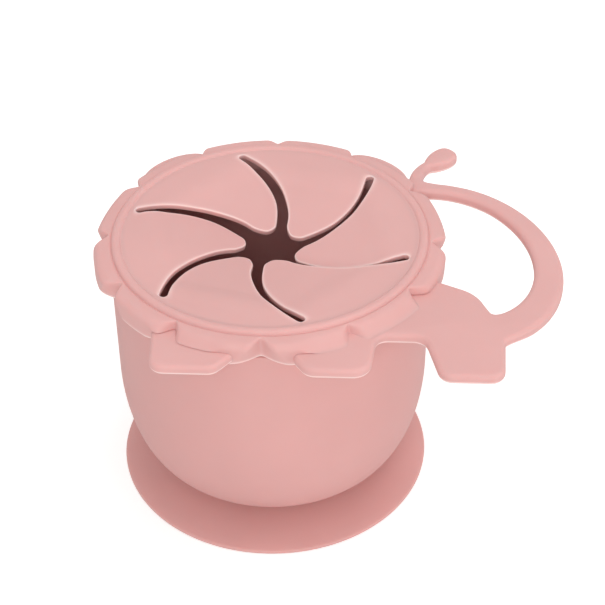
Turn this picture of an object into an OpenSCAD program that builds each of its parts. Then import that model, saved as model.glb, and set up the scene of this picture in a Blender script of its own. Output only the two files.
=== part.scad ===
// Silicone snack cup for a toddler: a round-bottomed cup on a suction base, under a lift-off
// lid in the shape of a lion seen from above. The lid's soft membrane is slit into six leaning
// flaps that a small hand pushes through. The tail is a loop to hold the lid by.
// Origin: the cup's axis at the level of the floor. +Z is up, the feet point along -Y and the
// tail lies towards +X. All lengths are in millimetres.

/* [Cup] */
// Outer radius of the cup wall
cup_r = 46.6; // [44:0.1:50]
// Thickness of the cup wall
cup_wall = 3.2; // [2.6:0.1:4]
// Thickness of the cup floor
cup_floor = 3.4; // [2.4:0.1:5]
// Height of the cup's flat underside above the floor
cup_under_z = 8.3; // [8:0.1:12]
// Radius of the flat underside, where the round bottom begins
cup_under_r = 33.6; // [28:0.1:38]
// Height where the round bottom meets the straight wall
bowl_top_z = 39.9; // [32:0.1:50]
// Height of the shoulder that the lid's skirt stands over
shoulder_z = 76.4; // [70:0.1:84]
// How far the rim above the shoulder is set in from the wall
rim_step = 1.5; // [1.2:0.1:1.6]
// Height of the rim above the shoulder
rim_h = 6.1; // [5:0.1:8]

/* [Suction base] */
// Outer radius of the suction base
base_r = 47.8; // [44:0.1:54]
// Thickness of the base at its thin outer edge
base_edge_t = 1.3; // [1:0.1:2]
// Height by which the base rises from its edge to the foot of the neck
base_slope = 2.9; // [2:0.1:3.5]
// Width of the flat ring that meets the table
base_seal_w = 3.6; // [2:0.1:6]
// Height of the hollow under the base
base_hollow_h = 3.2; // [2:0.1:4.5]
// Radius of the neck that joins the base to the cup
neck_r = 20; // [14:0.5:26]
// Radius of the fillet round the foot of the neck
neck_fillet = 2.6; // [1:0.1:3]

/* [Lid ring] */
// Gap between the cup's rim and the lid's groove, all round
lid_gap = 0.15; // [0.1:0.05:0.4]
// Thickness of the skirt outside the rim, at the notches of the mane
skirt_t = 1.05; // [0.8:0.05:1.6]
// Thickness of the lip that plugs into the cup
plug_t = 1.5; // [1.2:0.1:2]
// Depth of the lip below the membrane
plug_h = 4.6; // [3:0.1:6]
// Thickness of the membrane and of its flaps
membrane_t = 1.5; // [1.2:0.1:2]
// Width of the round bead on top of the ring
bead_w = 2.8; // [2:0.1:3.4]
// Height of the bead above the membrane
bead_h = 0.85; // [0.5:0.05:1.4]

/* [Mane] */
// Number of lobes round the mane
lobe_count = 12; // [12]
// How far the lobes stand out from the skirt
lobe_out = 4.6; // [3:0.1:6]
// Width of the V notches between the lobes, at the mane's edge
notch_w = 9.2; // [6:0.2:11]
// Length over which a lobe's corner is rounded off
lobe_blend = 1.8; // [1:0.1:2.4]
// Drop of the mane's top from the bead to its round edge
mane_fall = 0.1; // [0:0.1:1.2]
// Radius of the mane's upper edge
mane_top_edge = 2; // [1:0.1:2.6]
// Radius of the mane's lower edge
mane_low_edge = 0.8; // [0.4:0.1:1.2]
// Radius of each ear's disc
ear_r = 7.3; // [6:0.1:9]
// How far the ears peep out past the lobes
ear_out = 2.9; // [1:0.1:3.4]
// Angle of the ears to each side of the lion's crown
ear_angle = 41.5; // [38:0.5:45]
// Height of an ear
ear_h = 4.2; // [3:0.1:4.4]
// Height of an ear's top above the plate's
ear_rise = 1.2; // [0:0.1:2]

/* [Flaps] */
// Width of the membrane's fixed border inside the lip
border_w = 1.3; // [1.3:0.1:3]
// Angle of the first slit's outer end, from the +X axis
slit_angle = 45; // [40:0.5:52]
// Angle that each slit winds through on its way to the middle
slit_wind = 34.5; // [20:0.5:40]
// Width of a slit at its outer end
slit_end_w = 2.5; // [1:0.1:2.5]
// Width of a slit towards the middle
slit_mid_w = 3; // [2:0.1:3.6]
// Radius of the opening that the flaps' tips leave in the middle
star_r = 7.3; // [4:0.1:9]
// Length of a flap's rounded tip
tip_round = 2.9; // [2:0.1:4]
// Angles by which the six flaps droop at rest
flap_droop = [9, 10, 13, 11.5, 8.5, 11.5]; // [0:0.5:20]
// Gap between a flap's round root and its seat in the border
hinge_gap = 0.25; // [0.15:0.05:0.4]

/* [Body and legs] */
// Thickness of the body and the legs
plate_t = 3.2; // [2.6:0.1:3.6]
// How far the plate's top lies below the membrane's
plate_down = 3.2; // [3:0.1:4]
// Radius of the plate's rounded edges
plate_edge = 0.8; // [0.4:0.1:1.2]
// How far the feet reach past the mane
leg_reach = 5.3; // [3:0.1:9]
// Width of each front leg
front_leg_w = 18; // [14:0.1:19]
// Distance between the outer sides of the two front legs
front_span = 59; // [56:0.1:62]
// Radius of the corners of the feet
foot_corner = 4; // [2:0.1:5]
// How far the inner side of each front leg spreads towards the mane
leg_flare = 5; // [3:0.1:7]
// How far the long sides of the front legs lean over
leg_lean = 1.2; // [0:0.1:2]
// How far the belly's ends lean in from the legs
belly_lean = 3.6; // [2:0.1:5]
// Height of the belly line above the mane's lowest point
belly_rise = 9.7; // [7:0.1:12]
// How far the rump reaches past the mane
rump_reach = 14.6; // [10:0.1:20]
// Width of the rear leg at its foot
rear_leg_w = 17.6; // [13:0.1:19]
// How far the rear foot reaches past the front feet
rear_drop = 1; // [0:0.1:2]
// Height of the lion's back over the tail's root
back_rise = 9; // [7:0.1:11]
// How far the back's highest point lies towards the mane from the tail's root
back_in = 4.3; // [3:0.1:6]
// Radius of the back there
back_round = 12; // [8:0.5:14]
// Height of the tail's root above the feet, on its lower side
tail_root_low = 13.8; // [12:0.1:17]
// Height of the tail's root above the feet, on its upper side
tail_root_high = 24.8; // [23:0.1:28]

/* [Tail] */
// Thickness of the tail and its tuft
tail_t = 3.8; // [3.2:0.1:4.4]
// Half length of the loop across its narrow way
loop_a = 27.5; // [24:0.1:32]
// Half length of the loop along its long way
loop_b = 34.7; // [31:0.1:38]
// Tilt of the loop's long way from the Y axis
loop_tilt = 21; // [16:1:26]
// Loop centre's place along X, past the mane's edge
loop_x = 0.3; // [-1:0.1:3]
// Loop centre's place along Y
loop_y = -4.3; // [-6:0.1:-2]
// Width of the tail at its root
tail_root_w = 10.3; // [7:0.1:10.6]
// Width of the tail where it meets the mane
tail_end_w = 4.5; // [4:0.1:6]
// Radius of the tail's rounded edges
tail_edge = 1.4; // [0.8:0.1:1.5]
// Angle round the mane at which the tuft's stalk stands
stalk_angle = 38.5; // [36:0.5:42]
// Length of the stalk between the tail and its tuft
stalk_l = 9.4; // [8:0.1:12]
// Angle through which the stalk bends towards the tuft
stalk_bend = 43; // [30:1:55]
// Width of the stalk at its foot
stalk_w = 4.2; // [3.6:0.1:5]
// Width of the neck where the tuft begins
neck_w = 3; // [2.9:0.1:3.4]
// Length of the tuft
tuft_l = 11.3; // [9:0.1:15]
// Width of the tuft
tuft_w = 7.1; // [6:0.1:10]

/* [Hidden] */
FLAPS = 6;
CURVE_STEPS = 28;
CORNER_STEPS = 6;
EDGE_STEPS = 3;
TAIL_STEPS = 28;
ROOT_T = -79;
STALK_FROM = 88;
$fn = 96;

// Radii of the rim and of the ring that grips it
rim_r = cup_r - rim_step;
bore_r = cup_r - cup_wall;
plug_r = bore_r - 2 * lid_gap;
plug_in_r = plug_r - plug_t;
groove_r = rim_r + lid_gap;
skirt_r = groove_r + skirt_t;
mane_r = skirt_r + lobe_out;
bead_out_r = skirt_r - 0.5;
bead_in_r = bead_out_r - bead_w;

// Heights of the rim and of the ring that grips it
rim_top_z = shoulder_z + rim_h;
skirt_z = shoulder_z + lid_gap;
groove_z = rim_top_z + lid_gap;
membrane_z = groove_z + membrane_t;
ring_foot_z = membrane_z - 0.5;
plug_z = groove_z - plug_h;
plate_z = membrane_z - plate_down;
plate_low_z = plate_z - plate_t;
tail_low_z = plate_z - tail_t;

// Half angle of each notch
notch_half = atan(notch_w / 2 / lobe_out);

// Places of the slits and of the flaps' hinge lines
slit_r = plug_in_r - border_w;
hinge_r = slit_r * cos(180 / FLAPS);
hinge_z = membrane_z - membrane_t / 2;
wind_rate = slit_wind / (slit_r - star_r);

// Places on the body, measured from the mane
feet_y = -mane_r - leg_reach;
belly_y = -mane_r + belly_rise;
rump_x = mane_r + rump_reach;
rear_feet_y = feet_y - rear_drop;
left_x = -front_span / 2;
right_x = front_span / 2;
rear_x = rump_x - rear_leg_w;
root_low = [rump_x + 0.2, feet_y + tail_root_low];
root_high = [rump_x - 2.3, feet_y + tail_root_high];

// Colours of the silicone, in the light and in the cup's shade
lid_pink = "#E6B0AD";
cup_pink = "#DDA6A2";
base_pink = "#D4938E";

function unit(v) = v / norm(v);
function left_of(v) = [-v[1], v[0]];
function polar(r, angle) = [r * cos(angle), r * sin(angle)];
function turned(v, angle) = [v[0] * cos(angle) - v[1] * sin(angle), v[0] * sin(angle) + v[1] * cos(angle)];

// Smaller of two lengths, with the change from one to the other rounded over length k
function soft_min(a, b, k) =
    let (h = max(0, min(1, 0.5 + 0.5 * (b - a) / k)))
    b + (a - b) * h - k * h * (1 - h);

// Quarter of an ellipse from [r0, z0], where it runs level, to [r1, z1], where it runs upright
function bowl(r0, z0, r1, z1, from, to) =
    [for (i = [from:CURVE_STEPS - to]) let (a = 90 * i / CURVE_STEPS)
        [r0 + (r1 - r0) * sin(a), z1 - (z1 - z0) * cos(a)]];

// Arc of a profile about a centre
function arc(centre, r, from, to, steps) =
    [for (i = [0:steps]) centre + polar(r, from + (to - from) * i / steps)];

// Round corner at b on the way from a to c; each corner is [x, y, radius]
function corner(a, b, c) =
    let (u = unit([b[0] - a[0], b[1] - a[1]]),
         v = unit([c[0] - b[0], c[1] - b[1]]),
         side = u[0] * v[1] - u[1] * v[0] < 0 ? -1 : 1,
         bend = acos(max(-1, min(1, u * v))),
         start = [b[0], b[1]] - u * b[2] * tan(bend / 2),
         centre = start + left_of(u) * side * b[2])
    [for (i = [0:CORNER_STEPS])
        centre - turned(left_of(u) * side * b[2], side * bend * i / CORNER_STEPS)];

// Closed outline through a list of corners, anticlockwise
function rounded(corners) =
    let (n = len(corners))
    [for (i = [0:n - 1]) each corner(corners[(i + n - 1) % n], corners[i], corners[(i + 1) % n])];

// Outline moved inwards by d. A butted outline's last edge, back to its first point, stays put
function inset(points, d, butted) =
    let (n = len(points))
    [for (i = [0:n - 1])
        let (u = unit(points[i] - points[(i + n - 1) % n]),
             v = unit(points[(i + 1) % n] - points[i]),
             turn = u[0] * v[1] - u[1] * v[0])
        points[i] + (butted && i == 0 ? -u * d / turn
                     : butted && i == n - 1 ? v * d / turn
                     : (left_of(u) + left_of(v)) * d / (1 + u * v))];

// Twice the area of a triangle, positive when its corners run anticlockwise
function turning(a, b, c) = (b[0] - a[0]) * (c[1] - a[1]) - (b[1] - a[1]) * (c[0] - a[0]);

// Whether the outline's corner at place i can be cut off: it juts out and no other point is in it
function is_ear(points, ids, i) =
    let (n = len(ids),
         a = points[ids[(i + n - 1) % n]],
         b = points[ids[i]],
         c = points[ids[(i + 1) % n]])
    turning(a, b, c) > 0
    && len([for (j = ids)
        if (turning(a, b, points[j]) > 0 && turning(b, c, points[j]) > 0 && turning(c, a, points[j]) > 0)
            j]) == 0;

// Triangles that fill an outline, by cutting off one corner after another
function triangles(points, ids) =
    let (n = len(ids))
    n < 4 ? [ids]
    : let (i = [for (i = [0:n - 1]) if (is_ear(points, ids, i)) i][0])
        concat([[ids[(i + n - 1) % n], ids[i], ids[(i + 1) % n]]],
               triangles(points, [for (j = [0:n - 1]) if (j != i) ids[j]]));

// Slab over an outline, with its upper and lower edges rounded to radius edge
module soft_slab(outline, low, high, edge, butted) {
    count = len(outline);
    steps = [for (i = [0:EDGE_STEPS]) 90 * i / EDGE_STEPS];
    rings = concat([for (a = steps) [low + edge * (1 - cos(a)), edge * (1 - sin(a))]],
                   [for (a = steps) [high - edge * (1 - sin(a)), edge * (1 - cos(a))]]);
    points = [for (ring = rings) each [for (p = inset(outline, ring[1], butted)) [p[0], p[1], ring[0]]]];
    top = (len(rings) - 1) * count;
    sides = [for (k = [0:len(rings) - 2], i = [0:count - 1])
        let (j = (i + 1) % count)
        [k * count + i, k * count + count + i, k * count + count + j, k * count + j]];
    flat = triangles(inset(outline, edge, butted), [for (i = [0:count - 1]) i]);
    polyhedron(points, concat(flat, sides, [for (t = flat) [top + t[2], top + t[1], top + t[0]]]));
}

// Radius of the mane's outline at an angle: the lobes' circle, cut by a V at each notch
function mane_outline_r(angle) =
    let (pitch = 360 / lobe_count,
         off = abs(angle - pitch * round(angle / pitch)),
         v_line = skirt_r * sin(notch_half) / sin(max(0.01, notch_half - off)))
    off >= notch_half - 1 ? mane_r : soft_min(mane_r, v_line, lobe_blend);
function mane_outline(first, last) =
    [for (lobe = [first:last], step = [0:19])
        let (half = 180 / lobe_count,
             u = step / 10 - 1,
             angle = (lobe + 0.5) * 2 * half + half * sign(u) * (1 - pow(1 - abs(u), 1.6)))
        polar(mane_outline_r(angle), angle)];

// Everything inside the mane's outer wall, which the plate, the ears and the tail butt against,
// over the sector from one lobe to another
module within_mane(first, last) {
    translate([0, 0, skirt_z - 5])
        linear_extrude(membrane_z - skirt_z + 10)
            polygon(concat(last - first < lobe_count - 1 ? [[0, 0]] : [], mane_outline(first, last)));
}

module cup() {
    outer = bowl(cup_under_r, cup_under_z, cup_r, bowl_top_z, 0, 0);
    inner = bowl(cup_under_r - cup_wall / 2, cup_under_z + cup_floor, bore_r, bowl_top_z, 0, 0);
    rim_round = (rim_r - bore_r) / 2 - 0.05;
    rim_mid = (rim_r + bore_r) / 2;
    color(cup_pink)
        rotate_extrude()
            polygon(concat(
                [[0, cup_under_z]], outer,
                [[cup_r, shoulder_z], [rim_r, shoulder_z]],
                arc([rim_mid, rim_top_z - rim_round], rim_r - rim_mid, 0, 180, 10),
                [for (i = [len(inner) - 1:-1:0]) inner[i]],
                [[0, cup_under_z + cup_floor]]));
}

module suction_base() {
    slope_z = base_edge_t + base_slope;
    edge = base_edge_t / 2;
    seal_out_r = base_r - edge;
    color(base_pink)
        rotate_extrude()
            polygon(concat(
                [[0, base_hollow_h], [neck_r - 4, base_hollow_h], [seal_out_r - base_seal_w, 0]],
                arc([base_r - edge, edge], edge, -90, 70, 8),
                [[neck_r + neck_fillet + 2, slope_z]],
                arc([neck_r + neck_fillet, slope_z + neck_fillet + 0.3], neck_fillet, 270, 180, 8),
                [[neck_r, cup_under_z], [0, cup_under_z]]));
}

module mane_ring() {
    color(lid_pink)
        difference() {
            union() {
                ring_core();
                intersection() {
                    mane_torus();
                    within_mane(0, lobe_count - 1);
                }
            }
            flap_opening();
        }
}

// Ring without its mane: skirt, groove for the rim, plug lip, bead and membrane
module ring_core() {
    bead_mid = (bead_in_r + bead_out_r) / 2;
    bead_rad = (pow(bead_w / 2, 2) + pow(bead_h, 2)) / (2 * bead_h);
    bead_half = asin(bead_w / 2 / bead_rad);
    rotate_extrude()
        polygon(concat(
            [[0, groove_z], [plug_in_r, groove_z], [plug_in_r, plug_z], [plug_r - 0.5, plug_z],
             [plug_r, plug_z + 0.8], [plug_r, groove_z], [groove_r, groove_z],
             [groove_r, skirt_z], [skirt_r, skirt_z], [skirt_r, ring_foot_z],
             [bead_out_r, membrane_z]],
            arc([bead_mid, membrane_z + bead_h - bead_rad], bead_rad,
                90 - bead_half, 90 + bead_half, 10),
            [[0, membrane_z]]));
}

// Ring of the mane before its notches are cut
module mane_torus() {
    top_z = ring_foot_z;
    edge_z = top_z - mane_fall;
    rotate_extrude()
        polygon(concat(
            [[groove_r + skirt_t / 2, skirt_z]],
            arc([mane_r - mane_low_edge, skirt_z + mane_low_edge], mane_low_edge, -90, 0, 5),
            arc([mane_r - mane_top_edge, edge_z - mane_top_edge], mane_top_edge, 0, 90, 8),
            [[skirt_r, top_z], [groove_r + skirt_t / 2, top_z]]));
}

// Six-sided hole for the flaps, with a round seat along each side and a round end to each slit
module flap_opening() {
    cut_low = groove_z - 1;
    cut_h = membrane_t + bead_h + 2;
    translate([0, 0, cut_low])
        rotate(slit_angle)
            cylinder(h = cut_h, r = slit_r, $fn = FLAPS);
    for (k = [0:FLAPS - 1]) {
        rotate(slit_angle + 360 / FLAPS * (k + 0.5))
            translate([hinge_r, 0, hinge_z])
                rotate([90, 0, 0])
                    cylinder(h = slit_r, r = membrane_t / 2 + hinge_gap, center = true, $fn = 24);
        rotate(slit_angle + 360 / FLAPS * k)
            translate([slit_r, 0, cut_low])
                cylinder(h = cut_h, r = slit_end_w / 2, $fn = 24);
    }
}

// Half of the angle that a flap spans at radius r: its sixth, less half a slit on each side
function flap_half(r) =
    let (width = slit_end_w + (slit_mid_w - slit_end_w) * min(1, 1.5 * (slit_r - r) / slit_r),
         lean = r * wind_rate * PI / 180,
         slit = width / 2 * sqrt(1 + lean * lean) / r * 180 / PI,
         back = min(1, (r - star_r) / tip_round))
    (180 / FLAPS - slit) * sqrt(1 - pow(1 - back, 2));

// Flap seen from above with its hinge line square to +X: its two edges wind with the slits
function flap_outline() =
    let (radii = [for (i = [0:CURVE_STEPS]) star_r + (slit_r - star_r) * pow(i / CURVE_STEPS, 1.5)],
         low = [for (r = radii) polar(r, -wind_rate * (slit_r - r) - flap_half(r))],
         high = [for (r = radii) polar(r, -wind_rate * (slit_r - r) + flap_half(r))])
    concat([for (i = [len(low) - 1:-1:1]) low[i]], high);

// One flap on its hinge line, turned down by its droop
module flap(k) {
    reach = 2 * slit_r;
    root_from = -slit_r / 2 + slit_end_w * 0.75;
    root_to = slit_r / 2 - slit_end_w * 1.5;
    color(lid_pink)
        rotate(slit_angle + 360 / FLAPS * (k + 0.5))
            translate([hinge_r, 0, hinge_z])
                rotate([0, -flap_droop[k], 0]) {
                    intersection() {
                        translate([-hinge_r, 0, -membrane_t / 2])
                            linear_extrude(membrane_t)
                                polygon(flap_outline());
                        translate([-reach, -reach / 2, -membrane_t])
                            cube([reach, reach, 2 * membrane_t]);
                    }
                    translate([0, root_to, 0])
                        rotate([90, 0, 0])
                            cylinder(h = root_to - root_from, r = membrane_t / 2, $fn = 24);
                }
}
module flap_1() flap(0);
module flap_2() flap(1);
module flap_3() flap(2);
module flap_4() flap(3);
module flap_5() flap(4);
module flap_6() flap(5);

// One ear: a round disc low behind the mane, of which a crescent shows
module ear(side) {
    round_edge = 1;
    color(lid_pink)
        difference() {
            rotate(90 + side * ear_angle)
                translate([mane_r + ear_out - ear_r, 0, plate_z + ear_rise - ear_h])
                    rotate_extrude()
                        polygon(concat([[0, 0], [ear_r, 0]],
                                       arc([ear_r - round_edge, ear_h - round_edge], round_edge, 0, 90, 5),
                                       [[0, ear_h]]));
            within_mane(side > 0 ? 4 : 1, side > 0 ? 4 : 1);
        }
}
module ear_left() ear(1);
module ear_right() ear(-1);

module front_leg() {
    foot = left_x + front_leg_w;
    color(lid_pink)
        difference() {
            soft_slab(rounded([
                [left_x - leg_lean / 2, -mane_r * 0.72, 2],
                [left_x + leg_lean / 2, feet_y, foot_corner],
                [foot, feet_y, foot_corner],
                [foot + leg_flare, -mane_r + 1, 3],
                [foot + leg_flare, -mane_r * 0.72, 2]]), plate_low_z, plate_z, plate_edge, false);
            within_mane(7, 9);
        }
}

module lion_body() {
    foot = right_x - front_leg_w;
    low = tail_side(ROOT_T, 1);
    high = tail_side(ROOT_T, -1);
    path = [
        high,
        [root_high[0] - 0.3, root_high[1] + 0.4, 1.5],
        [root_high[0] - back_in, root_high[1] + back_rise, back_round],
        [mane_r * 0.8, -mane_r * 0.27, mane_r * 0.05],
        [mane_r * 0.6, -mane_r * 0.5, mane_r * 0.05],
        [foot - 1.4 - leg_lean, -mane_r * 0.8, mane_r * 0.04],
        [foot - 1 - leg_lean, -mane_r + 1, 2],
        [foot - 1, feet_y, foot_corner],
        [right_x, feet_y, foot_corner + 1],
        [right_x + belly_lean / 2, belly_y, foot_corner - 0.5],
        [rear_x - belly_lean, belly_y, foot_corner],
        [rear_x + 0.4, rear_feet_y, foot_corner],
        [rump_x - 0.4, rear_feet_y, foot_corner],
        [root_low[0] + 0.2, root_low[1] + 0.2, 1.5],
        low];
    color(lid_pink)
        difference() {
            soft_slab(concat([high], [for (i = [1:len(path) - 2]) each corner(path[i - 1], path[i], path[i + 1])],
                             [low]), plate_low_z, plate_z, plate_edge, true);
            within_mane(8, 11);
        }
}

// Middle line and width of the tail, by the angle round its tilted oval
function tail_mid(t) = [mane_r + loop_x, loop_y] + turned([loop_a * cos(t), loop_b * sin(t)], loop_tilt);
function tail_way(t) = unit(turned([-loop_a * sin(t), loop_b * cos(t)], loop_tilt));
function tail_w(t) = max(tail_end_w, tail_root_w - (tail_root_w - 3) * (t + 80) / 172);
function tail_side(t, side) = tail_mid(t) - left_of(tail_way(t)) * side * tail_w(t) / 2;

// Middle line of the stalk, which bends towards the tuft, and of the tuft, by the distance s along it
function tuft_mid(s) =
    let (bend_r = stalk_l / stalk_bend * 180 / PI,
         a = STALK_FROM - stalk_bend * min(1, s / stalk_l))
    polar(mane_r + tail_end_w - 1, stalk_angle)
        + bend_r * [sin(STALK_FROM) - sin(a), cos(a) - cos(STALK_FROM)]
        + max(0, s - stalk_l) * [cos(a), sin(a)];

// Half width there: the stalk narrows to the neck, and the tuft is a leaf with a round end
function tuft_half(s) =
    let (u = (s - stalk_l) / tuft_l)
    u < 0 ? neck_w / 2 - (stalk_w - neck_w) / 2 * s / stalk_l + (stalk_w - neck_w) / 2
    : u < 0.6 ? neck_w / 2 + (tuft_w - neck_w) / 2 * sin(90 * u / 0.6)
    : tuft_w / 2 * sqrt(max(0, 1 - pow((u - 0.6) / 0.4, 2)));
function tuft_side(s, side) =
    let (way = unit(tuft_mid(s + 0.01) - tuft_mid(s)))
    tuft_mid(s) + left_of(way) * side * tuft_half(s);

module tail_loop() {
    end_t = 68;
    outer = [for (i = [0:TAIL_STEPS]) tail_side(ROOT_T + (end_t - ROOT_T) * i / TAIL_STEPS, 1)];
    inner = [for (i = [TAIL_STEPS:-1:0])
        tail_side(ROOT_T + (end_t + 16 - ROOT_T) * i / TAIL_STEPS, -1)];
    along = concat([for (i = [1:5]) stalk_l * i / 5],
                   [for (i = [1:3]) stalk_l + tuft_l * 0.6 * i / 3],
                   [for (i = [1:6]) stalk_l + tuft_l * (0.6 + 0.4 * sin(15 * i))]);
    right = [for (s = along) tuft_side(s, -1)];
    left = [for (i = [len(along) - 2:-1:0]) tuft_side(along[i], 1)];
    heel = tuft_side(0, -1);
    color(lid_pink)
        difference() {
            soft_slab(concat(outer, corner(outer[TAIL_STEPS], [heel[0], heel[1] - 1, 1.6], right[0]),
                             right, left, [tuft_side(0, 1), polar(mane_r - 3, stalk_angle - 1)], inner),
                      tail_low_z, plate_z, tail_edge, true);
            within_mane(0, 1);
        }
}

cup();
suction_base();
mane_ring();
ear_left();
ear_right();
front_leg();
lion_body();
tail_loop();
flap_1();
flap_2();
flap_3();
flap_4();
flap_5();
flap_6();
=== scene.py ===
import bmesh
import bpy
import numpy as np
from mathutils import Matrix


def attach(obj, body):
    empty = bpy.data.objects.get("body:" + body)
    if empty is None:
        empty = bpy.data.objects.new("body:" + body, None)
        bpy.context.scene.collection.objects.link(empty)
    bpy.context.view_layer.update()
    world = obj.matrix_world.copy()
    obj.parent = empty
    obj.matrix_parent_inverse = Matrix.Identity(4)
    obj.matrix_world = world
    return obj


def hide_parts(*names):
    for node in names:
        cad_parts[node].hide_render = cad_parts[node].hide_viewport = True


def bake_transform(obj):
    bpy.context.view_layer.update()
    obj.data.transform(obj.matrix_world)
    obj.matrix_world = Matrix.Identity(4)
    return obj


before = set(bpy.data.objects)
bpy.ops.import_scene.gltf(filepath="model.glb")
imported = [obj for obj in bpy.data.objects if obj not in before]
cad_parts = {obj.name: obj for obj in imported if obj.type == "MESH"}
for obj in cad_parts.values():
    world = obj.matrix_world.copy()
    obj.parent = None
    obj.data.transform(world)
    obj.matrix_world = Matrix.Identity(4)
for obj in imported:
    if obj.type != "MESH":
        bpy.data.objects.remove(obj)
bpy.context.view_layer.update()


# Studio: a long lens looks down at the lid over the lion's feet. A white sweep, an even white
# surround, a wide soft lamp above, one before the front and a weaker one low on the right.
right = (0.99892719, 0.04552765, -0.00846808)
down = (0.02195502, -0.62661408, -0.77902039)
ahead = (-0.04077319, 0.77799873, -0.62694140)
stand = (0.02858297, -0.36964158, 0.35627943)

lens = bpy.data.cameras.new("long_lens")
lens.sensor_width = 36
lens.lens = 94.625
lens.clip_start = 0.01
lens.clip_end = 20
camera = bpy.data.objects.new("camera", lens)
bpy.context.scene.collection.objects.link(camera)
camera.matrix_world = Matrix([
    [right[0], -down[0], -ahead[0], stand[0]],
    [right[1], -down[1], -ahead[1], stand[1]],
    [right[2], -down[2], -ahead[2], stand[2]],
    [0, 0, 0, 1]])
bpy.context.scene.camera = camera

bpy.context.scene.view_settings.view_transform = "Standard"

world = bpy.data.worlds.new("white_surround")
world.use_nodes = True
bpy.context.scene.world = world
surround = world.node_tree.nodes
surround.clear()
path = surround.new("ShaderNodeLightPath")
seen = surround.new("ShaderNodeMath")
seen.operation = "MAXIMUM"
seen.use_clamp = True
soft_fill = surround.new("ShaderNodeBackground")
soft_fill.inputs["Color"].default_value = (1, 0.985, 0.975, 1)
soft_fill.inputs["Strength"].default_value = 0.56
plain_white = surround.new("ShaderNodeBackground")
plain_white.inputs["Color"].default_value = (1, 1, 1, 1)
plain_white.inputs["Strength"].default_value = 1
either = surround.new("ShaderNodeMixShader")
sky = surround.new("ShaderNodeOutputWorld")
wires = world.node_tree.links
wires.new(path.outputs["Is Camera Ray"], seen.inputs[0])
wires.new(path.outputs["Is Transmission Ray"], seen.inputs[1])
wires.new(seen.outputs[0], either.inputs[0])
wires.new(soft_fill.outputs[0], either.inputs[1])
wires.new(plain_white.outputs[0], either.inputs[2])
wires.new(either.outputs[0], sky.inputs["Surface"])


def soft_lamp(name, place, target, size, watts, tint):
    """Square area lamp at place, turned to face target."""
    light = bpy.data.lights.new(name, "AREA")
    light.shape = "SQUARE"
    light.size = size
    light.energy = watts
    light.color = tint
    lamp = bpy.data.objects.new(name, light)
    bpy.context.scene.collection.objects.link(lamp)
    z = np.array(place, float) - np.array(target, float)
    z /= np.linalg.norm(z)
    x = np.cross((0, 0, 1), z)
    x /= np.linalg.norm(x)
    y = np.cross(z, x)
    lamp.matrix_world = Matrix([[x[0], y[0], z[0], place[0]], [x[1], y[1], z[1], place[1]],
                                [x[2], y[2], z[2], place[2]], [0, 0, 0, 1]])


soft_lamp("key_lamp", (0.22, 0.12, 1.2), (0, 0, 0.06), 0.9, 4.5, (1, 0.98, 0.965))
soft_lamp("front_lamp", (-0.03, -0.98, 0.66), (0, 0, 0.04), 0.6, 4.3, (1, 0.985, 0.97))
soft_lamp("side_lamp", (0.95, -0.45, 0.14), (0, 0, 0.04), 0.6, 2.0, (1, 0.985, 0.97))

floor_mesh = bpy.data.meshes.new("white_sweep")
floor_mesh.from_pydata([(-3, -3, 0), (3, -3, 0), (3, 3, 0), (-3, 3, 0)], [], [(0, 1, 2, 3)])
floor = bpy.data.objects.new("white_sweep", floor_mesh)
bpy.context.scene.collection.objects.link(floor)
paper = bpy.data.materials.new("white_paper")
paper.use_nodes = True
paper_nodes = paper.node_tree.nodes
paper_wires = paper.node_tree.links
sheet_white = paper_nodes["Principled BSDF"]
sheet_white.inputs["Base Color"].default_value = (0.86, 0.855, 0.85, 1)
sheet_white.inputs["Roughness"].default_value = 0.9
sheet_white.inputs["Specular IOR Level"].default_value = 0.1
ray = paper_nodes.new("ShaderNodeLightPath")
lift = paper_nodes.new("ShaderNodeEmission")
lift.inputs["Color"].default_value = (1, 1, 1, 1)
lift_in_view = paper_nodes.new("ShaderNodeMath")
lift_in_view.operation = "MULTIPLY"
lift_in_view.inputs[1].default_value = 0.42
both = paper_nodes.new("ShaderNodeAddShader")
paper_wires.new(ray.outputs["Is Camera Ray"], lift_in_view.inputs[0])
paper_wires.new(lift_in_view.outputs[0], lift.inputs["Strength"])
paper_wires.new(sheet_white.outputs[0], both.inputs[0])
paper_wires.new(lift.outputs[0], both.inputs[1])
paper_wires.new(both.outputs[0], paper_nodes["Material Output"].inputs["Surface"])
floor_mesh.materials.append(paper)


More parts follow.
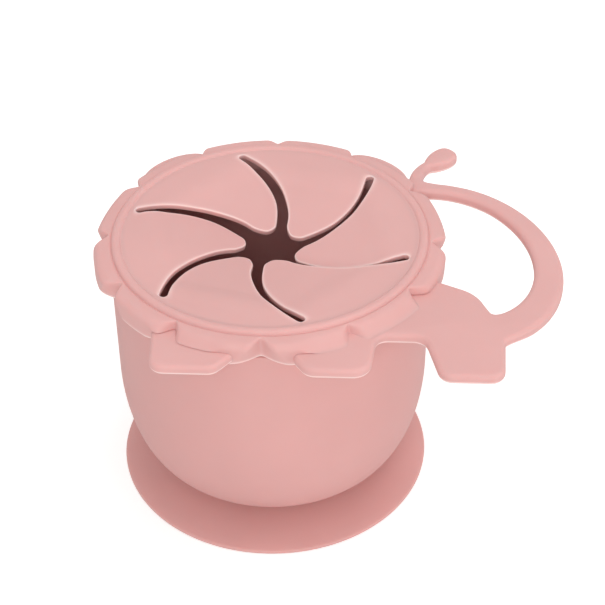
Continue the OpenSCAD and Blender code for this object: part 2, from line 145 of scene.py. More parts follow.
# Cup: one round-bottomed silicone moulding with a 3 mm wall, a shoulder that the lid's skirt
# stands over and a set-in rim. It is a lathe shape: one wall profile carried round the axis.
def silicone(name, colour, depth):
    """Matt silicone: a dusty pink body that lets a little light in, with a faint uneven tone and
    a fine grain. A mark on the mesh mixes the tone towards a paler pink: a painted highlight."""
    skin = bpy.data.materials.new(name)
    skin.use_nodes = True
    nodes, wires = skin.node_tree.nodes, skin.node_tree.links
    gum = nodes["Principled BSDF"]
    gum.inputs["Specular IOR Level"].default_value = 0.35
    gum.inputs["IOR"].default_value = 1.41
    gum.inputs["Subsurface Weight"].default_value = depth
    gum.inputs["Subsurface Radius"].default_value = (1.0, 0.42, 0.34)
    gum.inputs["Subsurface Scale"].default_value = 0.0022
    gum.inputs["Sheen Weight"].default_value = 0.06
    gum.inputs["Sheen Roughness"].default_value = 0.6
    gum.inputs["Sheen Tint"].default_value = (1, 0.9, 0.88, 1)
    place = nodes.new("ShaderNodeTexCoord")
    cloud = nodes.new("ShaderNodeTexNoise")
    cloud.inputs["Scale"].default_value = 34
    cloud.inputs["Detail"].default_value = 3
    tone = nodes.new("ShaderNodeValToRGB")
    tone.color_ramp.elements[0].position = 0.3
    tone.color_ramp.elements[0].color = tuple(c * 0.972 for c in colour) + (1,)
    tone.color_ramp.elements[1].position = 0.7
    tone.color_ramp.elements[1].color = tuple(min(1, c * 1.02) for c in colour) + (1,)
    grain = nodes.new("ShaderNodeTexNoise")
    grain.inputs["Scale"].default_value = 2400
    grain.inputs["Detail"].default_value = 2
    wave = nodes.new("ShaderNodeTexNoise")
    wave.inputs["Scale"].default_value = 85
    wave.inputs["Detail"].default_value = 1
    matt = nodes.new("ShaderNodeMapRange")
    matt.inputs["To Min"].default_value = 0.5
    matt.inputs["To Max"].default_value = 0.64
    # Painted highlight: where the mesh's mark is set, the tone is mixed towards a pale pink.
    highlight_mark = nodes.new("ShaderNodeAttribute")
    highlight_mark.attribute_name = "painted_highlight"
    highlight_mix = nodes.new("ShaderNodeMix")
    highlight_mix.data_type = "RGBA"
    highlight_mix.inputs["B"].default_value = (0.97, 0.71, 0.685, 1)
    fine = nodes.new("ShaderNodeBump")
    fine.inputs["Strength"].default_value = 0.22
    fine.inputs["Distance"].default_value = 0.00004
    broad = nodes.new("ShaderNodeBump")
    broad.inputs["Strength"].default_value = 0.12
    broad.inputs["Distance"].default_value = 0.0004
    for texture in (cloud, grain, wave):
        wires.new(place.outputs["Object"], texture.inputs["Vector"])
    wires.new(cloud.outputs["Fac"], tone.inputs["Fac"])
    wires.new(highlight_mark.outputs["Fac"], highlight_mix.inputs["Factor"])
    wires.new(tone.outputs["Color"], highlight_mix.inputs["A"])
    wires.new(highlight_mix.outputs["Result"], gum.inputs["Base Color"])
    wires.new(cloud.outputs["Fac"], matt.inputs["Value"])
    wires.new(matt.outputs["Result"], gum.inputs["Roughness"])
    wires.new(grain.outputs["Fac"], fine.inputs["Height"])
    wires.new(wave.outputs["Fac"], broad.inputs["Height"])
    wires.new(fine.outputs["Normal"], broad.inputs["Normal"])
    wires.new(broad.outputs["Normal"], gum.inputs["Normal"])
    return skin


def piece(name, points, faces, material, crease=40, painted_highlight=None):
    """Smooth mesh of the object from vertices and faces. Doubled points are merged, so poles and
    seams close, and edges that turn more than crease degrees stay sharp. An optional mark, from 0
    to 1 at each point, says where a painted highlight makes the tone paler."""
    mesh = bpy.data.meshes.new(name)
    mesh.from_pydata(np.asarray(points, float).reshape(-1, 3), [], faces)
    # Painted highlight: kept as a point attribute that the material reads to pale its tone.
    if painted_highlight is not None:
        marks = mesh.attributes.new("painted_highlight", "FLOAT", "POINT")
        marks.data.foreach_set("value", np.asarray(painted_highlight, np.float32).ravel())
    tidy = bmesh.new()
    tidy.from_mesh(mesh)
    bmesh.ops.remove_doubles(tidy, verts=tidy.verts, dist=2e-7)
    bmesh.ops.dissolve_degenerate(tidy, edges=tidy.edges, dist=2e-7)
    bmesh.ops.recalc_face_normals(tidy, faces=tidy.faces)
    tidy.to_mesh(mesh)
    tidy.free()
    mesh.shade_smooth()
    mesh.set_sharp_from_angle(angle=np.radians(crease))
    mesh.materials.append(material)
    made = bpy.data.objects.new(name, mesh)
    bpy.context.scene.collection.objects.link(made)
    return made


def grid_faces(rows, columns, round_rows=False, round_columns=False, first=0):
    """Four-sided faces of a grid of points counted row by row, closed either way if asked."""
    i = np.arange(rows if round_rows else rows - 1)[:, None]
    j = np.arange(columns if round_columns else columns - 1)[None, :]
    i2, j2 = (i + 1) % rows, (j + 1) % columns
    corners = [i * columns + j, i2 * columns + j, i2 * columns + j2, i * columns + j2]
    return (np.stack([c + 0 * i + 0 * j for c in corners], -1).reshape(-1, 4) + first).tolist()


def bend_of(centre, size, start, end, steps):
    """Part of an ellipse in the profile: centre + size * (cos a, sin a) for a from start to end."""
    a = np.radians(np.linspace(start, end, steps))
    return np.stack([centre[0] + size[0] * np.cos(a), centre[1] + size[1] * np.sin(a)], -1)


def lathe(profile, turns):
    """Surface of revolution: every (radius, height) of the closed profile is carried round Z."""
    a = np.linspace(0, 2 * np.pi, turns, endpoint=False)
    r, z = profile[:, 0, None], profile[:, 1, None]
    return np.stack([r * np.cos(a), r * np.sin(a), z + 0 * a], -1)


lid_silicone = silicone("lid_silicone", (0.765, 0.432, 0.415), 0.22)
cup_silicone = silicone("cup_silicone", (0.735, 0.398, 0.382), 0.22)

wall_r = 0.0466
rim_r = 0.0451
bore_r = 0.0434
under_r, under_z = 0.0336, 0.0083
bowl_top = 0.0399
floor_r, floor_top = 0.032, 0.0117
shoulder_z, rim_top = 0.0764, 0.0825
turns = 256
rim_mid = (rim_r + bore_r) / 2
half_rim = (rim_r - bore_r) / 2
cup_profile = np.concatenate([
    [(0, under_z), (0.02, under_z), (0.031, under_z)],
    bend_of((under_r, bowl_top), (wall_r - under_r, bowl_top - under_z), -90, 0, 48),
    [(wall_r, 0.052), (wall_r, 0.065)],
    bend_of((wall_r - 0.0005, shoulder_z - 0.0005), (0.0005, 0.0005), 0, 90, 6),
    [(rim_r + 0.0003, shoulder_z)],
    bend_of((rim_r + 0.0003, shoulder_z + 0.0003), (0.0003, 0.0003), 270, 180, 4),
    bend_of((rim_mid, rim_top - half_rim), (half_rim, half_rim), 0, 180, 16),
    [(bore_r, 0.065), (bore_r, 0.052)],
    bend_of((floor_r, bowl_top), (bore_r - floor_r, bowl_top - floor_top), 0, -90, 36),
    [(0.03, floor_top), (0.015, floor_top), (0, floor_top)]])
cup = piece("cup_moulding", lathe(cup_profile, turns),
            grid_faces(len(cup_profile), turns, round_rows=True, round_columns=True),
            cup_silicone)
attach(cup, "cup_and_base")
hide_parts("cup")


# Suction base: the foot of the same moulding, a short neck that spreads into a thin cupped disc.
# The disc slopes down to a rounded edge, and its flat ring meets the table round a hollow.
base_silicone = silicone("base_silicone", (0.775, 0.425, 0.405), 0.22)
edge_r, edge = 0.0478, 0.00068
neck_r, neck_top = 0.02, 0.0083
base_profile = np.concatenate([
    [(0, 0.0032), (0.016, 0.0032), (0.03, 0.0021)],
    bend_of((edge_r - edge - 0.0036, 0.0006), (0.0022, 0.0006), 250, 270, 4),
    bend_of((edge_r - edge, edge), (edge, edge), -90, 80, 10),
    [(0.044, 0.0017), (0.036, 0.0027), (0.029, 0.00358)],
    bend_of((0.0226, 0.0071), (0.0026, 0.0029), 268, 180, 10),
    [(neck_r, neck_top), (0, neck_top)]])
base = piece("suction_disc", lathe(base_profile, turns),
             grid_faces(len(base_profile), turns, round_rows=True, round_columns=True),
             base_silicone)
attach(base, "cup_and_base")
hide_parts("suction_base")


# Lid ring: skirt, groove for the cup's rim, plug lip, round bead and the mane with its lobes.
# One profile goes round the axis while its outer end follows the lobes' outline; over the body
# and the legs it runs out softly into the plate.
def ease(u):
    """Soft step: u squared times (3 - 2 u), with u held between 0 and 1."""
    u = np.clip(u, 0, 1)
    return u ** 2 * (3 - 2 * u)


def bell(degrees, place, width):
    """Bell curve round the lid: exp(-(away / width)^2), away being the degrees from place."""
    away = (degrees - place + 180) % 360 - 180
    return np.exp(-(away / width) ** 2)


def lobe_edge(degrees, low):
    """Outline of the mane at the share low of its height, 0 at the top and 1 at the foot: the
    lobes' circle cut by a V at each notch, which opens downwards. The two join softly over a
    short length k as the lesser of two lengths: b + (a - b) h - k h (1 - h). Bell curves pull
    lobes in or out by up to 0.6 mm, make the rear notches shallower and shift the notches by up
    to 3 degrees from an even spacing."""
    lobes_r = (0.0510 - 0.0006 * bell(degrees, 166, 14) - 0.0004 * bell(degrees, 138, 18)
               - 0.0003 * bell(degrees, 14, 11) + 0.0003 * bell(degrees, 202, 9)
               + 0.0003 * bell(degrees, -15, 9))
    notch_r = 0.0464 - 0.0003 * low + 0.0011 * bell(degrees, 90, 22)
    half, k = 33.0 + 19.0 * low, 0.0018 + 0.0016 * low
    shifted = degrees - 0.5 - 2.3 * bell(degrees, 191, 26) + 3.3 * bell(degrees, -5, 26)
    off = np.hypot(shifted - 30 * np.round(shifted / 30), 0.5 + 0.6 * low)
    v_line = notch_r * np.sin(np.radians(half)) / np.sin(np.radians(np.maximum(half - off, 1)))
    h = np.clip(0.5 + 0.5 * (v_line - lobes_r) / k, 0, 1)
    return v_line + (lobes_r - v_line) * h - k * h * (1 - h)


membrane_top, membrane_under = 0.08415, 0.08265
crown_z, plate_z = 0.08372, 0.08092
border_r, bead_out = 0.0424, 0.0461
half_degrees = np.arange(0, 360, 0.5)
near_notch = (np.arange(-5, 5, 0.25)[None, :] + np.arange(0, 360, 30)[:, None]).ravel() % 360
turn = np.unique(np.round(np.concatenate([half_degrees, near_notch]), 4))
lobe = lobe_edge(turn, 0)[None, :]
flat = np.ones_like(lobe)

# Top of the border: the bead's hump over the ground line, the greater of the two joined softly
bead_mid, bead_half, bead_top_z = 0.0444, 0.00145, 0.084780
groove_r, groove_d = 0.04592, 0.00022
across = np.linspace(border_r, bead_out, 56)[:, None]
ground = np.where(across < bead_mid, membrane_top,
                  crown_z - groove_d * np.exp(-((across - groove_r) / groove_d) ** 2))
off_mid = np.clip(np.abs(across - bead_mid) / bead_half, 0, 1)
hump = bead_top_z - 0.0014 * (1 - (1 - off_mid ** 2.6) ** 0.5)
hump = np.where(np.abs(across - bead_mid) < bead_half, hump, 0)
soft = 0.00016
lean = np.clip(0.5 + 0.5 * (hump - ground) / soft, 0, 1)
bead_top = ground + (hump - ground) * lean + soft * lean * (1 - lean)

# From the bead out over the mane's round shoulder, down its wall and round its foot
reach = lobe - bead_out
full = np.clip(reach / 0.0048, 0, 1)
over_body = ease((27 - np.abs(turn - 308)) / 9)[None, :]
over_leg = ease((14 - np.abs(turn - 246)) / 6)[None, :]
melt = over_body + 0.6 * over_leg
round_w = np.clip(0.5 * reach, 0.00018, 0.0024) + 0.0012 * melt * full
round_h = 0.0012 + 0.0009 * full
drop = 0.0001 * full
crown = crown_z - drop
share = np.linspace(0, 1, 8)[1:-1, None]
slope_r = bead_out + (reach - round_w) * share
slope_z = crown_z - drop * share ** 1.5
quarter = np.radians(np.linspace(0, 90, 10))[:, None]
wall_top, wall_foot = 0.3, 0.9
shoulder_low = wall_top * (1 - np.cos(quarter))
shoulder_r = lobe_edge(turn[None, :], shoulder_low) - round_w * (1 - np.sin(quarter))
shoulder_h = crown - round_h * (1 - np.cos(quarter))
run = quarter / quarter[-1]
shoulder_r += melt * (lobe - round_w + (round_w + 0.0012 * full) * run - shoulder_r)
shoulder_h += melt * (crown - (crown - plate_z) * ease(run) - shoulder_h)
skirt_foot, foot_edge = 0.07672, 0.0011
wall_share = np.linspace(0, 1, 7)[1:-1, None]
wall_lobe = lobe_edge(turn[None, :], wall_top + (wall_foot - wall_top) * wall_share)
wall_z = shoulder_h[-1:] + (skirt_foot + foot_edge - shoulder_h[-1:]) * wall_share
foot_r = lobe_edge(turn[None, :], 1 + 0 * quarter[::2]) - foot_edge * (1 - np.cos(quarter[::2]))
foot_z = skirt_foot + foot_edge * (1 - np.sin(quarter[::2]))

# Back up inside the skirt, over the groove for the cup's rim, round the lip and to the border
inside = np.array([
    (0.04545, skirt_foot), (0.04525, skirt_foot + 0.0002), (0.04525, 0.0796), (0.04525, 0.0823),
    (0.0449, 0.08265), (0.0434, 0.08265), (0.0431, 0.0823), (0.0431, 0.0804), (0.0431, 0.07885),
    (0.0426, 0.07805), (0.0419, 0.07805), (0.0416, 0.07835), (0.0416, 0.0804),
    (0.0416, membrane_under), (border_r, membrane_under)])
ring_r = np.concatenate([across * flat, slope_r, shoulder_r, wall_lobe, foot_r,
                         inside[:, :1] * flat])
ring_z = np.concatenate([bead_top * flat, slope_z * flat, shoulder_h, wall_z, foot_z * flat,
                         inside[:, 1:] * flat])
spin = np.radians(turn)[None, :]
ring_grid = np.stack([ring_r * np.cos(spin), ring_r * np.sin(spin), ring_z], -1)
# Painted highlight: the rows round the mane's foot get a paler tone, a light line along its lower
# edge over the cup.
edge_highlight = np.zeros_like(ring_r)
foot_first = len(ring_r) - len(inside) - len(foot_r)
edge_highlight[foot_first:foot_first + 4] = np.array([0.3, 1, 1, 1])[:, None]
ring = piece("mane_moulding", ring_grid,
             grid_faces(len(ring_r), len(turn), round_rows=True, round_columns=True),
             lid_silicone, painted_highlight=edge_highlight)
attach(ring, "lid")
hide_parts("mane_ring")


# Lion's body, rear leg, second front leg and tail: one flat pad of the lid's moulding with soft
# edges. Its outline runs from the mane round the feet, out along the tail to the tuft and back.
def rounded_path(corners):
    """Points of the arcs that round the inner corners of a path of [x, y, radius] rows, in
    millimetres. An arc begins radius * tan(bend / 2) before its corner."""
    c = np.asarray(corners, float)
    before, at, after = c[:-2, :2], c[1:-1, :2], c[2:, :2]
    u = (at - before) / np.linalg.norm(at - before, axis=1)[:, None]
    v = (after - at) / np.linalg.norm(after - at, axis=1)[:, None]
    cross = u[:, 0] * v[:, 1] - u[:, 1] * v[:, 0]
    side = np.where(cross < 0, -1.0, 1.0)
    bend = np.arccos(np.clip((u * v).sum(1), -1, 1))
    radius = c[1:-1, 2]
    left = np.stack([-u[:, 1], u[:, 0]], -1) * side[:, None]
    begin = at - u * (radius * np.tan(bend / 2))[:, None]
    centre = begin + left * radius[:, None]
    a = (side * bend)[:, None] * np.linspace(0, 1, 16)[None, :]
    x = -left[:, 0, None] * np.cos(a) + left[:, 1, None] * np.sin(a)
    y = -left[:, 0, None] * np.sin(a) - left[:, 1, None] * np.cos(a)
    arcs = centre[:, None, :] + radius[:, None, None] * np.stack([x, y], -1)
    return arcs.reshape(-1, 2)


def even_loop(points, spacing):
    """Closed outline taken again at even steps along its length."""
    closed = np.concatenate([points, points[:1]])
    step = np.linalg.norm(np.diff(closed, axis=0), axis=1)
    along = np.concatenate([[0], np.cumsum(step)])
    count = int(round(along[-1] / spacing))
    at = np.linspace(0, along[-1], count, endpoint=False)
    return np.stack([np.interp(at, along, closed[:, 0]), np.interp(at, along, closed[:, 1])], -1)


def eased(outline):
    """Outline with its corners softened: each pass moves a point towards the middle of its
    neighbours, half of the way where the mane hides it and a fortieth of the way outside."""
    clear_r, passes = 48.5, 40
    hidden = np.clip((clear_r - np.linalg.norm(outline, axis=1)) / 2, 0.05, 1)[:, None]
    for _ in range(passes):
        middle = (np.roll(outline, 1, axis=0) + 2 * outline + np.roll(outline, -1, axis=0)) / 4
        outline = outline + hidden * (middle - outline)
    return outline


def pad(name, outline, edge_in, edge_down, top, under, material):
    """Flat pad over an anticlockwise outline: its edge section, an ellipse quarter above and below
    a short wall, is carried along the outline, edge_in wide and edge_down high at each point."""
    ahead_of = np.roll(outline, -1, axis=0) - np.roll(outline, 1, axis=0)
    ahead_of /= np.linalg.norm(ahead_of, axis=1)[:, None]
    inward = np.stack([-ahead_of[:, 1], ahead_of[:, 0]], -1)
    a = np.radians(np.linspace(90, 0, 9))[:, None]
    move = np.concatenate([edge_in * (1 - np.cos(a)), edge_in * (1 - np.cos(a[::-1]))])
    height = np.concatenate([top - edge_down * (1 - np.sin(a)),
                             under + edge_down * (1 - np.sin(a[::-1]))])
    xy = outline[None, :, :] + inward[None, :, :] * move[:, :, None]
    points = np.concatenate([xy, height[:, :, None] + 0 * xy[:, :, :1]], -1)
    count, rings = len(outline), len(points)
    faces = grid_faces(rings, count, round_columns=True)
    faces += [list(range(count)), list(range((rings - 1) * count, rings * count))[::-1]]
    # Painted highlight: rows on the lower rounding of the edge get a paler tone, a light line along
    # the pad's bottom edge.
    edge_highlight = np.zeros((rings, count))
    edge_highlight[rings // 2 + 1:rings // 2 + 6] = 1
    return piece(name, points, faces, material, 60, edge_highlight)


feet, rear_feet, belly = -56.2, -57.2, -41.2
pad_top, pad_foot = 0.08095, 0.07775
arc_r = 45.9
loop_a, loop_b, loop_tilt = 27.5, 34.7, np.radians(21)
loop_x, loop_y = 51.2, -4.3


def tail_point(t):
    """Middle of the tail at angle t round its oval, and the direction along it: (a cos t, b sin t)
    and its derivative, both turned by the oval's tilt."""
    x, y = loop_a * np.cos(t), loop_b * np.sin(t)
    dx, dy = -loop_a * np.sin(t), loop_b * np.cos(t)
    c, s = np.cos(loop_tilt), np.sin(loop_tilt)
    way = np.stack([dx * c - dy * s, dx * s + dy * c], -1)
    return np.stack([loop_x + x * c - y * s, loop_y + x * s + y * c], -1), \
        way / np.linalg.norm(way, axis=-1)[:, None]


def tail_edge(start, end, side):
    """One edge of the tail, half the width from its middle line. The width falls evenly with the
    angle from 10.3 mm at the root, and stays at 4.5 mm for the outer edge and 5.5 mm for the
    inner one near the mane."""
    root_w, least_w = 10.3, 4.5 if side > 0 else 5.5
    t = np.linspace(start, end, 160)
    middle, way = tail_point(np.radians(t))
    width = np.maximum(least_w, root_w - 7.3 * (t + 80) / 172)
    return middle + np.stack([way[:, 1], -way[:, 0]], -1) * (side * width / 2)[:, None]


def tuft_edge(side):
    """Edge of the stalk and of the leaf-shaped tuft. The stalk's middle is an arc that turns
    through 43 degrees. Half the width falls evenly from 2.1 mm to 1.5 mm along the stalk, swells
    as a sine to 3.8 mm at 0.6 of the leaf and closes from there as (1 - v^2.6)^0.4."""
    stalk, leaf = 9.4, 11.3
    widest, rest = 0.6, 0.4
    start_way, turn_by = 88, 43
    foot_half, neck_half, leaf_half = 2.1, 1.5, 3.8
    s = np.concatenate([
        np.linspace(0, stalk, 30), stalk + leaf * widest * np.linspace(0.04, 1, 30),
        stalk + leaf * (widest + rest * np.sin(np.radians(np.linspace(3, 90, 30))))])
    a = np.radians(start_way - turn_by * np.minimum(1, s / stalk))
    bend_r = stalk / np.radians(turn_by)
    foot = 54.4 * np.array([np.cos(np.radians(38.5)), np.sin(np.radians(38.5))])
    past = np.maximum(0, s - stalk)
    x = foot[0] + bend_r * (np.sin(np.radians(start_way)) - np.sin(a)) + past * np.cos(a)
    y = foot[1] + bend_r * (np.cos(a) - np.cos(np.radians(start_way))) + past * np.sin(a)
    u = (s - stalk) / leaf
    swell = np.sin(np.pi / 2 * np.clip(u, 0, widest) / widest) ** 0.85
    close = np.clip(1 - np.clip((u - widest) / rest, 0, 1) ** 2.6, 0, 1) ** 0.4
    half = np.where(u <= 0, foot_half - (foot_half - neck_half) * s / stalk,
                    np.where(u < widest, neck_half + (leaf_half - neck_half) * swell,
                             leaf_half * close))
    return np.stack([x - np.sin(a) * side * half, y + np.cos(a) * side * half], -1)


def arc_points(r, start, end, steps):
    """Points on a circle about the axis, in millimetres."""
    a = np.radians(np.linspace(start, end, steps))
    return np.stack([r * np.cos(a), r * np.sin(a)], -1)


tail_outer = tail_edge(-79, 68, 1)
tail_inner = tail_edge(85, -79, -1)
tuft_right, tuft_left = tuft_edge(-1), tuft_edge(1)[::-1]
heel = tuft_right[0]
lion = np.concatenate([
    arc_points(arc_r, -20, -76, 60),
    rounded_path([
        (*arc_points(arc_r, -76, -76, 1)[0], 0), (9.2, -47.5, 1), (9.5, -51.3, 3),
        (12.8, feet, 4.5), (29.5, feet, 5), (31.3, belly, 3.5), (44.3, belly, 4),
        (48.3, rear_feet, 4), (65.1, rear_feet, 4), (65.9, -42.2, 1.6), (*tail_outer[0], 0)]),
    tail_outer,
    rounded_path([(*tail_outer[-1], 0), (heel[0], heel[1] - 1.0, 1.6), (*tuft_right[12], 0)]),
    tuft_right[12:], tuft_left,
    arc_points(arc_r, 41, 35, 9),
    tail_inner[4:],
    rounded_path([(*tail_inner[-1], 0), (62.9, -31.0, 1.5), (58.7, -21.8, 11), (46.0, -15.6, 1),
                  (*arc_points(arc_r, -20, -20, 1)[0], 0)])])
lion = eased(even_loop(lion, 0.35))
root = np.array([67.0, -36.5])
on_tail = np.clip(((lion - root) @ np.array([0.86, 0.5]) + 1) / 7, 0, 1)
on_tail *= np.clip((np.linalg.norm(lion, axis=1) - 51.0) / 3, 0, 1)
on_tuft = np.clip((lion[:, 1] - 31.5) / 2, 0, 1) * (lion[:, 0] < 57)
edge_in = 1.3 + 0.5 * on_tail - 0.6 * on_tail * on_tuft
edge_down = 1.25 + 0.1 * on_tail
blur = np.hanning(25) / np.hanning(25).sum()
edge_in = np.convolve(np.concatenate([edge_in[-12:], edge_in, edge_in[:12]]), blur, "valid")
edge_down = np.convolve(np.concatenate([edge_down[-12:], edge_down, edge_down[:12]]),
                        blur, "valid")
body = pad("lion_body_and_tail", lion / 1000, edge_in / 1000, edge_down / 1000,
           pad_top, pad_foot - 0.0006 * on_tail, lid_silicone)
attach(body, "lid")
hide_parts("lion_body", "tail_loop")


# Front leg that stands alone, and the two ears: small pads of the same moulding that come out
# from under the mane. Each outline goes back to an arc hidden inside the lid ring's wall.
leg = np.concatenate([
    arc_points(arc_r, -97, -131, 40),
    rounded_path([(*arc_points(arc_r, -131, -131, 1)[0], 0), (-29.9, -39.5, 1), (-28.9, feet, 4),
                  (-11.5, feet, 4), (-6.5, -49.9, 3), (-6.4, -47.5, 1),
                  (*arc_points(arc_r, -97, -97, 1)[0], 0)])])
leg = eased(even_loop(leg, 0.35))
same = np.ones(len(leg))
front_leg = pad("front_leg_pad", leg / 1000, same * 0.0013, same * 0.00125, pad_top, pad_foot,
                lid_silicone)
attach(front_leg, "lid")
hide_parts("front_leg")

ear_deep, ear_wide, ear_span = 6.9, 12.0, 13.6
ear_top, ear_foot = 0.08215, 0.07795
for side, ear_name in ((1, "ear_left"), (-1, "ear_right")):
    ear_mid = 46.45 - 0.15 * side
    toward = np.radians(90.7 + side * 40.8)
    outward = np.array([np.cos(toward), np.sin(toward)])
    along = np.array([-outward[1], outward[0]])
    around = np.radians(np.linspace(-90, 90, 80))[:, None]
    ear_line = np.concatenate([
        ear_mid * outward + ear_deep * np.cos(around) * outward
        + ear_wide * np.sin(around) * along,
        arc_points(arc_r, np.degrees(toward) + ear_span, np.degrees(toward) - ear_span, 40)])
    ear_line = eased(even_loop(ear_line, 0.3))
    same = np.ones(len(ear_line))
    ear = pad(ear_name + "_pad", ear_line / 1000, same * 0.0012, same * 0.0012,
              ear_top, ear_foot, lid_silicone)
    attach(ear, "lid")
    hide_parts(ear_name)


# Membrane: six leaning flaps cut from one 1.6 mm sheet. Each is a slab between two slits with
# soft slit edges, a round tip at the middle and a root that bends with its hinge line.
slit_r, star_r, wind = 40.3, 7.3, 34.5 / 33.0
slit_end, slit_run, slit_mid = 2.3, 1.9, 3.0
hub_r = slit_end / 2


def slit_side(radius, side):
    """Angle in degrees, from the flap's middle, of its edge at a radius. The slits wind 34.5
    degrees on their way in. They are 2.3 mm wide at the end, 1.9 mm along the outer half and 3 mm
    near the star, and the flap closes to a round tip 7.3 mm out."""
    width = (slit_run + (slit_end - slit_run) * np.exp(-((slit_r - radius) / 7) ** 2)
             + (slit_mid - slit_run) * ease((22 - radius) / 10))
    lean = radius * np.radians(wind)
    slit = np.degrees(width / 2 * np.sqrt(1 + lean ** 2) / radius)
    back = np.clip((radius - star_r) / 2.9, 0, 1)
    half = (30 - slit) * np.sqrt(1 - (1 - back) ** 2)
    return -wind * (slit_r - radius) + side * half


def flap_side(side):
    """One boundary of a flap seen from above, root to tip, with its inward directions: a round
    end of the slit first, then the slit's edge. The slit leaves its round end at a slant, so the
    end's arc is 127 degrees long on one side and 53 on the other."""
    arc = 127 if side < 0 else 53
    slant = 0.56
    end = np.radians(side * 30.0)
    hub = slit_r * np.array([np.cos(end), np.sin(end)])
    sweep = end - side * np.radians(np.linspace(0, arc, 9))
    fan = np.stack([np.cos(sweep), np.sin(sweep)], -1)
    begin = slit_r + side * hub_r * slant
    u = np.linspace(0, 1, 88)
    radius = star_r + (begin - star_r) * (1 - u) ** 1.7
    angle = np.radians(slit_side(radius, side))
    line = np.stack([radius * np.cos(angle), radius * np.sin(angle)], -1)
    way = np.gradient(line, axis=0)
    way /= np.linalg.norm(way, axis=1)[:, None]
    inward = np.stack([-way[:, 1], way[:, 0]], -1) * side
    inward[-1] = (np.cos(angle[-1]), np.sin(angle[-1]))
    return np.concatenate([hub + hub_r * fan, line]), np.concatenate([fan, inward])


def slit_sway(x, y):
    """Angle in radians by which the cut slits lie off an even star. turn_by, in degrees, turns a
    slit's outer end. spread moves its sides apart, or together where it is below 0, along the
    middle stretch. Both fade as a squared cosine to nothing 60 degrees from the slit."""
    radius = np.hypot(x, y) * 1000
    turned = np.degrees(np.arctan2(y, x)) + wind * (slit_r - radius)
    grow = np.clip((radius - 16) / 22, 0, 1)
    grow = grow ** 3 * (3 - 2 * grow)
    middle = np.sin(np.pi * np.clip((radius - 12) / 28, 0, 1))
    sway = 0 * radius
    for end, turn_by, spread in ((105, 0.4, 0.95), (165, 0.7, -0.7), (225, 1.9, -0.6),
                                 (285, 0.4, 0.35)):
        off = (turned - end + 180) % 360 - 180
        near = np.cos(np.pi / 2 * np.clip(np.abs(off) / 60, 0, 1)) ** 2
        sway += near * (turn_by * grow + spread * np.tanh(off / 1.5) * middle)
    return np.radians(sway)


def turn_about(points, pivot, axis, angles):
    """Each point turned about a line through pivot along axis, by its own angle in radians:
    p cos a + (axis x p) sin a + axis (p . axis) (1 - cos a)."""
    p = points - pivot
    c, s = np.cos(angles)[:, None], np.sin(angles)[:, None]
    return pivot + p * c + np.cross(axis, p) * s + axis * (p @ axis)[:, None] * (1 - c)


hinge_r, hinge_z = 0.0349008, 0.0834
bend_out, bend_in = 0.0016, 0.0090
soft_edge, low_edge, thick = 0.45, 0.2, 1.6
low_line, low_in = flap_side(-1)
high_line, high_in = flap_side(1)
round_a = np.radians(np.linspace(0, 90, 7))
step_in = soft_edge * (1 - np.cos(round_a))
step_drop = soft_edge * (1 - np.sin(round_a))
middle_share = np.linspace(0, 1, 42)[1:-1]
low_part = low_line[:, None, :] + low_in[:, None, :] * step_in[None, :, None]
high_part = (high_line[:, None, :] + high_in[:, None, :] * step_in[None, :, None])[:, ::-1]


def between(a, b, share):
    """Points between a and b with radius and angle about the axis shared out evenly."""
    ra, rb = np.linalg.norm(a, axis=-1), np.linalg.norm(b, axis=-1)
    ta, tb = np.arctan2(a[..., 1], a[..., 0]), np.arctan2(b[..., 1], b[..., 0])
    r = ra[:, None] + (rb - ra)[:, None] * share
    t = ta[:, None] + (tb - ta)[:, None] * share
    return np.stack([r * np.cos(t), r * np.sin(t)], -1)


sheet_rows = np.concatenate([
    low_part, between(low_part[:, -1], high_part[:, 0], middle_share), high_part], 1)
row_drop = np.concatenate([step_drop, 0 * middle_share, step_drop[::-1]])
rows, half_columns = sheet_rows.shape[:2]
loop_xy = np.concatenate([sheet_rows, sheet_rows[:, ::-1]], 1)
loop_z = np.concatenate([-row_drop, row_drop[::-1] * low_edge / soft_edge - thick])
slab = np.concatenate([
    loop_xy, np.broadcast_to(loop_z[None, :, None], (*loop_xy.shape[:2], 1))], -1)
slab_faces = grid_faces(rows, 2 * half_columns, round_columns=True)
# Painted highlight: the top side of the slit edges' rounding is toned paler, most part way round it
# and faintly where it meets the flat top; the underside and the outer strip get none.
rim_highlight = 0.8 * np.sin(np.radians(np.linspace(0, 130, len(step_in)))) ** 2
row_highlight = np.concatenate([rim_highlight, 0 * middle_share, rim_highlight[::-1]])
row_highlight[[len(step_in), -len(step_in) - 1]] = 0.1
slab_highlight = np.broadcast_to(np.concatenate([row_highlight, 0 * row_highlight]), (rows, 2 * half_columns))
end_cap = [[j, j + 1, 2 * half_columns - 2 - j, 2 * half_columns - 1 - j]
           for j in range(half_columns - 1)]

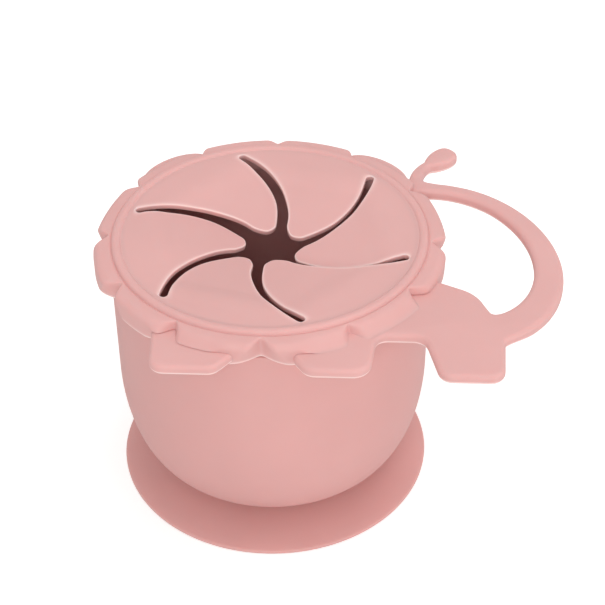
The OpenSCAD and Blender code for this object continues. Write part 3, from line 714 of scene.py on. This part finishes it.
# The strip outside the slits' ends runs in arcs from the fillet's end to the ring's border
fillet_columns = len(step_in)
strip_r = np.array([slit_r + hub_r + soft_edge, 42.0, 42.4])
arc_even = np.radians(np.linspace(-30, 30, len(middle_share) + 2))
strip = strip_r[:, None, None] * np.stack([np.cos(arc_even), np.sin(arc_even)], -1)[None]
flat_flap = slab.reshape(-1, 3) / 1000
top_strip = np.concatenate([strip, 0 * strip[..., :1]], -1).reshape(-1, 3) / 1000
low_strip = top_strip - (0, 0, thick / 1000)
sheet = np.concatenate([flat_flap, top_strip, low_strip]) + (0, 0, membrane_top)
bend_share = ease((hinge_r + bend_out - sheet[:, 0]) / (bend_out + bend_in))
sheet_highlight = np.concatenate([slab_highlight.ravel(), np.zeros(2 * len(top_strip))])
first, count, wide = len(flat_flap), len(top_strip), len(arc_even)
sheet_faces = slab_faces + end_cap[:fillet_columns - 1] + end_cap[-(fillet_columns - 1):]
sheet_faces += grid_faces(3, wide, first=first) + grid_faces(3, wide, first=first + count)
outer = first + 2 * wide + np.arange(wide - 1)
sheet_faces += np.stack([outer, outer + 1, outer + 1 + count, outer + count], -1).tolist()
sheet_faces += [[first + e + wide * q, first + e + wide * (q + 1),
                 first + count + e + wide * (q + 1), first + count + e + wide * q]
                for q in (0, 1) for e in (0, wide - 1)]
upright = np.array([0.0, 0.0, 1.0])
for k, droop in enumerate((9, 10, 13, 11.5, 8.5, 11.5)):
    toward = np.radians(75 + 60 * k)
    c, s = np.cos(toward), np.sin(toward)
    points = turn_about(sheet, np.array([hinge_r, 0, hinge_z]), np.array([0.0, -1.0, 0.0]),
                        np.radians(droop) * bend_share)
    points = np.stack([points[:, 0] * c - points[:, 1] * s, points[:, 0] * s + points[:, 1] * c,
                       points[:, 2]], -1)
    points = turn_about(points, np.zeros(3), upright, slit_sway(points[:, 0], points[:, 1]))
    flap = piece("membrane_flap_%d" % (k + 1), points, sheet_faces, lid_silicone,
                 painted_highlight=sheet_highlight)
    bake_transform(flap)
    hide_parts("flap_%d" % (k + 1))
